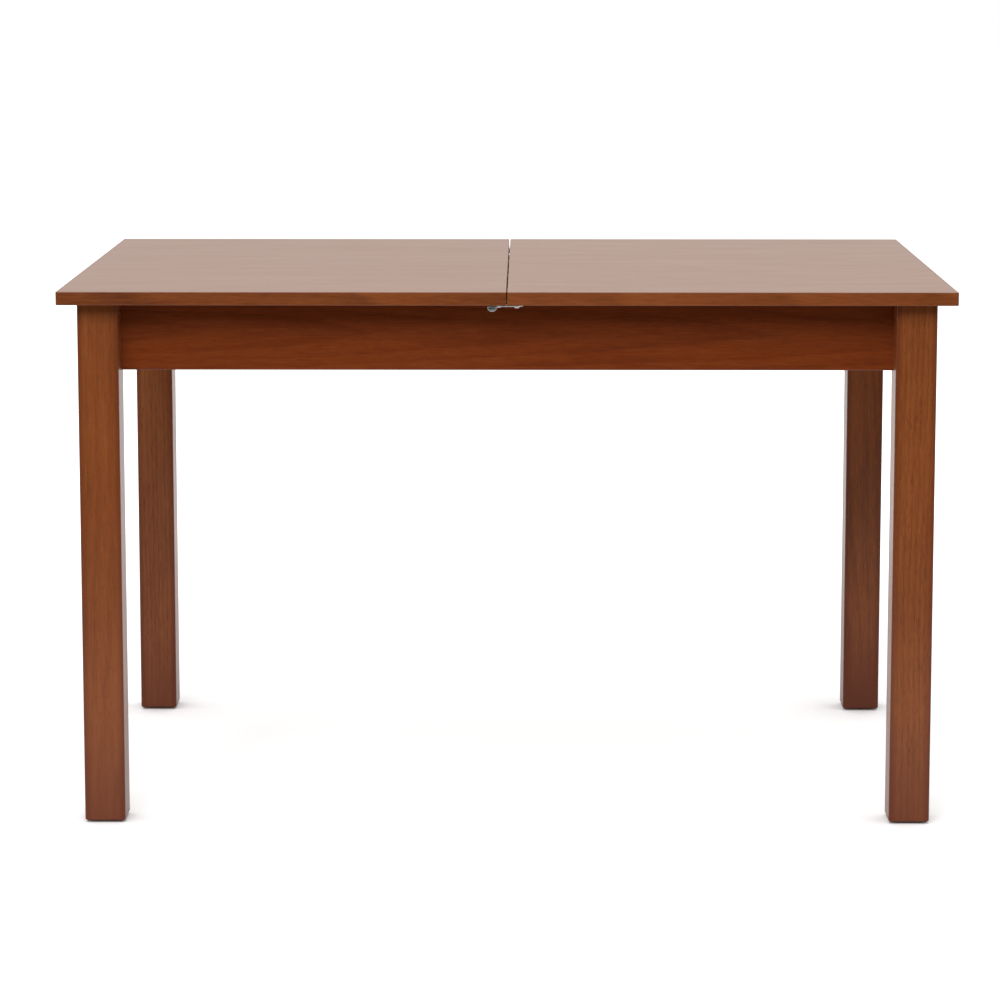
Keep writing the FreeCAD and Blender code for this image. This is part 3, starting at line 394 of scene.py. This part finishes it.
def toned(finish, tones, tone):
    """Colour of the wood from its deep, even and pale tones."""
    deep, even, pale = tones
    stops = ((0.0, deep), (EVEN_TONE, even), (1.0, pale))
    return finish.add("ShaderNodeValToRGB", {"stops": stops}, {0: tone})


def rounded_edge(finish):
    """1 where a board turns from one face to the next, 0 on its faces."""
    squarest = facing(finish, X_AXIS).larger(facing(finish, Y_AXIS)).larger(facing(finish, Z_AXIS))
    return finish.step(1.0 - squarest, low=0.02, high=0.15)


def stained_wood(node, kind, grain, pith, seed, shade=0.0, lipping_shade=0.0, strength=1.0, shade_at_foot=0.0):
    """Reddish brown stain under satin lacquer, on a board with its own growth rings, shade and figure."""
    finish = Finish(f"{node}_stain")
    stain = STAINS[kind]
    low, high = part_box(node)
    middle = (low + high) / 2
    turn = Euler(GRAIN_TURNS[grain]).to_matrix()
    place = grain_place(finish, middle, grain)
    if kind == "top":
        end_lipping = finish.step(facing(finish, X_AXIS), low=0.6, high=0.7)
        place = finish.blend_place(end_lipping, place, grain_place(finish, middle, "y"))
    change, pores = wood_figure(finish, place, pith, stain, seed)
    pores = pores * stain["pores"]
    contrast = stain["contrast"] * strength
    if kind == "top":
        lipping = finish.step(1.0 - facing(finish, Z_AXIS), low=0.4, high=0.7)
        contrast = contrast + lipping * (LIPPING_CONTRAST - contrast)
        shade = shade + lipping * lipping_shade
    tone = EVEN_TONE + change * contrast + shade
    colour = toned(finish, stain["tones"], tone)
    if kind == "top":
        colour = finish.blend_colour(lipping, colour, toned(finish, STAINS["leg"]["tones"], tone))
    deep = rgba(stain["tones"][0])
    stain_and_shade = rgba(STAIN_AND_SHADE_TONE)
    colour = finish.blend_colour(pores, colour, deep)
    # Rounded edges take the darker tone: gathered stain and painted shade
    colour = finish.blend_colour(rounded_edge(finish) * STAIN_AND_SHADE_ON_EDGES, colour, stain_and_shade)
    gloss = wood_noise(finish, place, "gloss", seed)
    roughness = stain["roughness"] + gloss * GLOSS_CHANGE + pores * PORE_ROUGHNESS
    if kind == "leg":
        size = [abs(length) for length in turn @ (high - low)]
        # Darker tone along a leg's sides (gathered stain and painted shade) and at its foot (painted shade)
        colour = finish.blend_colour(leg_stain_and_shade(finish, place, size, shade_at_foot), colour, stain_and_shade)
    if kind != "top":
        direction = turn.transposed() @ Vector(X_AXIS)
        end_grain = finish.step(facing(finish, direction), low=0.6, high=0.8)
        colour = finish.blend_colour(end_grain * END_STAIN, colour, deep)
        roughness = roughness + end_grain * END_ROUGHNESS
    finish.set(Base_Color=colour, Roughness=roughness, IOR=stain["index"])
    finish.bump(1.0 - pores, PORE_RELIEF, PORE_DEPTH)
    return finish.material


def bare_timber(node, kind, grain, seed):
    """Planed hardwood, neither stained nor lacquered."""
    finish = Finish(f"{node}_timber")
    low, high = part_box(node)
    place = grain_place(finish, (low + high) / 2, grain)
    change, pores = wood_figure(finish, place, TIMBER_PITH, TIMBER_FIGURE, seed)
    tone = EVEN_TONE + change
    deep = rgba(TIMBER_TONES[kind][0])
    colour = finish.blend_colour(pores * TIMBER_PORES, toned(finish, TIMBER_TONES[kind], tone), deep)
    roughness = TIMBER_ROUGHNESS + pores * TIMBER_PORE_ROUGHNESS
    finish.set(Base_Color=colour, Roughness=roughness, IOR=TIMBER_INDEX)
    finish.bump(tone - pores * TIMBER_PORE_SHARE, TIMBER_RELIEF, TIMBER_DEPTH)
    return finish.material


# Metal and plastic
def even_scale(frequency):
    """The same frequency in each direction."""
    return (frequency, frequency, frequency)


def pressed_hollow(finish):
    """1 in the dish pressed into the tab of a hook, whose wall leans upwards, 0 elsewhere."""
    upward = finish.axes(finish.object_normal())[-1]
    leaning_wall = finish.step(upward, low=0.01, high=0.06)
    return leaning_wall * finish.step(facing(finish, Y_AXIS), low=0.7, high=0.8)


def plated_metal(name, bright, dull, roughness, brushing, painted_hollow_shade=None):
    """Plated metal with brush marks and a slight bloom, with painted shade in a pressed hollow."""
    finish = Finish(name)
    place = finish.object_place()
    marks = finish.noise(place, brushing, detail=3.0, roughness=0.6, seed=1.0)
    bloom = finish.noise(place, even_scale(90.0), detail=3.0, roughness=0.55, seed=9.0)
    colour = finish.blend_colour(finish.step(bloom, low=0.35, high=0.75), rgba(bright), rgba(dull))
    if painted_hollow_shade:
        # Painted shade in the dish pressed into the tab
        colour = finish.blend_colour(pressed_hollow(finish), colour, rgba(painted_hollow_shade))
    uneven = (marks - NOISE_MEAN) * MARK_ROUGHNESS + (bloom - NOISE_MEAN) * BLOOM_ROUGHNESS
    finish.set(Base_Color=colour, Metallic=1.0, Roughness=roughness + uneven)
    finish.bump(marks, MARK_RELIEF, MARK_DEPTH)
    return finish.material


def moulded_plastic(name, deep, pale):
    """Moulded plastic with a fine texture and rubbed high spots."""
    finish = Finish(name)
    place = finish.object_place()
    texture = finish.noise(place, even_scale(2400.0), detail=2.0, roughness=0.5, seed=2.0)
    rubbed = finish.noise(place, even_scale(160.0), detail=3.0, roughness=0.6, seed=5.0)
    colour = finish.blend_colour(finish.step(rubbed, low=0.45, high=0.8), rgba(deep), rgba(pale))
    roughness = PLASTIC_ROUGHNESS + (rubbed - NOISE_MEAN) * RUBBED_ROUGHNESS
    finish.set(Base_Color=colour, Roughness=roughness, IOR=PLASTIC_INDEX)
    finish.bump(texture, PLASTIC_RELIEF, PLASTIC_DEPTH)
    return finish.material


def paint(node, material):
    """Give a node of the frame its finish."""
    for slot in frame["nodes"][node].material_slots:
        slot.material = material


def longest_axis(node):
    """The axis along which a node is longest, as its grain runs."""
    low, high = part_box(node)
    size = high - low
    return "xyz"[max(range(3), key=lambda axis: size[axis])]


# Legs, each from its own place in the log, with its own shade, strength of figure and painted shade at the
# foot
LEG_BOARDS = {
    "front_left_leg": {"pith": (0.045, -0.03), "shade": -0.02, "strength": 1.0, "shade_at_foot": 0.6},
    "front_right_leg": {"pith": (-0.05, 0.04), "shade": 0.05, "strength": 1.35, "shade_at_foot": 0.6},
    "rear_right_leg": {"pith": (0.06, 0.035), "shade": -0.07, "strength": 1.4, "shade_at_foot": 1.0},
    "rear_left_leg": {"pith": (-0.04, -0.055), "shade": 0.1, "strength": 1.8, "shade_at_foot": 0.75},
}
for number, (node, board) in enumerate(LEG_BOARDS.items()):
    paint(node, stained_wood(node, "leg", "z", seed=LEG_SEED_STEP * number, **board))

# Aprons, flat sawn, with the rings running out to a point along the board
APRON_PITH = (0.042, 0.004)
APRON_GRAINS = {"front_apron": "x", "rear_apron": "x", "left_end_apron": "y", "right_end_apron": "y"}
for number, (node, grain) in enumerate(APRON_GRAINS.items()):
    seed = FIRST_APRON_SEED + APRON_SEED_STEP * number
    paint(node, stained_wood(node, "apron", grain, APRON_PITH, seed))

# Top and leaf, veneered, with lippings on their edges: the shade of each panel and of its lippings
PANEL_SHADES = {
    "top_panel_left": (-0.02, -0.13),
    "top_panel_right": (0.0, -0.02),
    "leaf_lower_half": (0.02, 0.0),
    "leaf_upper_half": (0.02, 0.0),
}
# The pith lies below the veneer, and further back from panel to panel
PANEL_PITH_DEPTH = -0.06
FIRST_PITH = -0.05
PITH_STEP = 0.06
for number, (node, (shade, lipping_shade)) in enumerate(PANEL_SHADES.items()):
    pith = (FIRST_PITH + PITH_STEP * number, PANEL_PITH_DEPTH)
    seed = FIRST_PANEL_SEED + PANEL_SEED_STEP * number
    paint(node, stained_wood(node, "top", "x", pith, seed, shade, lipping_shade))

# Fittings, one finish for each material of the record
FITTINGS = {
    "zinc_steel": plated_metal(
        "bright_zinc",
        bright=(0.68, 0.68, 0.67),
        dull=(0.5, 0.5, 0.49),
        roughness=0.34,
        brushing=(300.0, 300.0, 40.0),
    ),
    "hook_steel": plated_metal(
        "stamped_zinc",
        bright=(0.72, 0.73, 0.72),
        dull=(0.56, 0.57, 0.56),
        roughness=0.42,
        brushing=(40.0, 500.0, 500.0),
        # Painted shade in the hook's pressed dish
        painted_hollow_shade=(0.09, 0.095, 0.09),
    ),
    "hinge_brass": plated_metal(
        "hinge_brass",
        bright=(0.78, 0.58, 0.27),
        dull=(0.6, 0.42, 0.18),
        roughness=0.3,
        brushing=(40.0, 400.0, 400.0),
    ),
    "glide_plastic": moulded_plastic("glide_plastic", deep=(0.022, 0.02, 0.018), pale=(0.06, 0.055, 0.05)),
}
# Timber inside the frame: the grain of the braces, which stand across the corners, and of the dowels
BRACE_GRAINS = {
    "front_left_brace": "falling",
    "front_right_brace": "rising",
    "rear_right_brace": "falling",
    "rear_left_brace": "rising",
}
DOWEL_GRAIN = "x"
for number, row in enumerate(frame["record"]["subparts"]):
    node = row["node"]
    slot = row["material_slot"]
    if slot in FITTINGS:
        paint(node, FITTINGS[slot])
    elif slot == "dowel_wood":
        paint(node, bare_timber(node, "dowel", DOWEL_GRAIN, seed=TIMBER_SEED_STEP * number))
    elif slot == "hidden_timber":
        grain = BRACE_GRAINS.get(node) or longest_axis(node)
        paint(node, bare_timber(node, "rail", grain, seed=TIMBER_SEED_STEP * number))


# Studio: a pale floor, a white surround, soft lamps and a dark room round the camera
def stage_sheet(name, size, middle, tilt, material):
    """A flat sheet of the studio, tilted about X from lying down."""
    shape = bmesh.new()
    bmesh.ops.create_grid(shape, x_segments=1, y_segments=1, size=0.5)
    bmesh.ops.scale(shape, vec=(*size, 1.0), verts=shape.verts)
    bmesh.ops.rotate(shape, matrix=Matrix.Rotation(tilt, 3, "X"), verts=shape.verts)
    bmesh.ops.translate(shape, vec=middle, verts=shape.verts)
    mesh = bpy.data.meshes.new(name)
    shape.to_mesh(mesh)
    shape.free()
    mesh.materials.append(material)
    sheet = bpy.data.objects.new(name, mesh)
    bpy.context.scene.collection.objects.link(sheet)
    return sheet


def seen_rays(nodes):
    """1 for rays of the camera, and for those that metal and glass show."""
    camera_rays = nodes.add("ShaderNodeLightPath", output="Is Camera Ray")
    mirrored = camera_rays.part("Is Glossy Ray")
    through = camera_rays.part("Is Transmission Ray")
    return camera_rays.larger(mirrored).larger(through)


# Floor: it glows a little round the table, with a painted shadow that dims the glow where the feet stand,
# and turns white between two distances
FLOOR_REACH = 30.0
FLOOR_FRONT = -1.5
FLOOR_TONE = (0.8, 0.8, 0.8)
FLOOR_GLOW = 0.5
SHADOW_REACH = 0.15
NEAR_FLOOR = 1.0
FAR_FLOOR = 2.6
floor_finish = Finish("pale_floor")
from_table = floor_finish.add(
    "ShaderNodeVectorMath", {"operation": "LENGTH"}, {0: floor_finish.object_place()}, output="Value"
)
far_off = floor_finish.step(from_table, NEAR_FLOOR, FAR_FLOOR)
# Painted shadow: the glow dims where parts of the table stand close to the floor
openness = floor_finish.add(
    "ShaderNodeAmbientOcclusion", {"samples": 8}, {"Distance": SHADOW_REACH}, output="AO"
)
glow = openness * FLOOR_GLOW * (1.0 - far_off) + far_off
floor_finish.set(Base_Color=rgba(FLOOR_TONE), Roughness=0.9, IOR=1.2)
floor_finish.set(Emission_Color=seen_rays(floor_finish) * glow, Emission_Strength=1.0)
floor_size = (2 * FLOOR_REACH, FLOOR_REACH - FLOOR_FRONT)
floor_middle = (0.0, (FLOOR_FRONT + FLOOR_REACH) / 2, 0.0)
stage_sheet("floor", floor_size, floor_middle, 0.0, floor_finish.material)

# Dark room that the camera stands in, which the lacquer and the metal mirror but the camera doesn't see
DARK_WALL = -9.0
DARK_HEIGHT = 4.5
DARK_WIDTH = 14.0
DARK_TONE = (0.03, 0.03, 0.03)
dark_finish = Finish("dark_room")
dark_finish.set(Base_Color=rgba(DARK_TONE), Roughness=1.0, IOR=1.0)
# Its sheets, each with its depth, middle and tilt
DARK_SHEETS = {
    "dark_floor": (FLOOR_FRONT - DARK_WALL, (0.0, (FLOOR_FRONT + DARK_WALL) / 2, 0.0), 0.0),
    "dark_wall": (DARK_HEIGHT, (0.0, DARK_WALL, DARK_HEIGHT / 2), math.pi / 2),
}
for name, (depth, middle, tilt) in DARK_SHEETS.items():
    sheet = stage_sheet(name, (DARK_WIDTH, depth), middle, tilt, dark_finish.material)
    sheet.visible_camera = False

# Surround: white where it is seen, and weaker as light
WORLD_FILL = 0.55
world = bpy.data.worlds.new("white_surround")
world.use_nodes = True
bpy.context.scene.world = world
surround = Nodes(world.node_tree)
background = world.node_tree.nodes["Background"]
surround.feed(background.inputs["Color"], rgba((1.0, 1.0, 1.0)))
seen = seen_rays(surround)
surround.feed(background.inputs["Strength"], seen + (1.0 - seen) * WORLD_FILL)


def soft_lamp(name, place, target, size, power):
    """A rectangular lamp that faces its target."""
    lamp = bpy.data.lights.new(name, "AREA")
    lamp.shape = "RECTANGLE"
    lamp.size, lamp.size_y = size
    lamp.energy = power
    holder = bpy.data.objects.new(name, lamp)
    aim = Vector(target) - Vector(place)
    holder.matrix_world = Matrix.Translation(place) @ aim.to_track_quat("-Z", "Y").to_matrix().to_4x4()
    bpy.context.scene.collection.objects.link(holder)


soft_lamp("front_softbox", place=(-0.5, -3.4, 3.0), target=(0.0, 0.0, 0.4), size=(2.6, 2.0), power=104.0)
soft_lamp("overhead_softbox", place=(0.0, 0.2, 3.6), target=(0.0, 0.0, 0.7), size=(3.0, 2.4), power=60.0)

# Camera
lens = bpy.data.cameras.new("photo_camera")
lens.sensor_width = SENSOR_WIDTH
lens.lens = CAMERA_LENS
lens.shift_y = CAMERA_SHIFT
camera = bpy.data.objects.new("photo_camera", lens)
camera.location = CAMERA_PLACE
camera.rotation_euler = (math.radians(90.0 - CAMERA_PITCH), 0.0, math.radians(-CAMERA_YAW))
bpy.context.scene.collection.objects.link(camera)
bpy.context.scene.camera = camera
bpy.context.scene.view_settings.view_transform = "Standard"
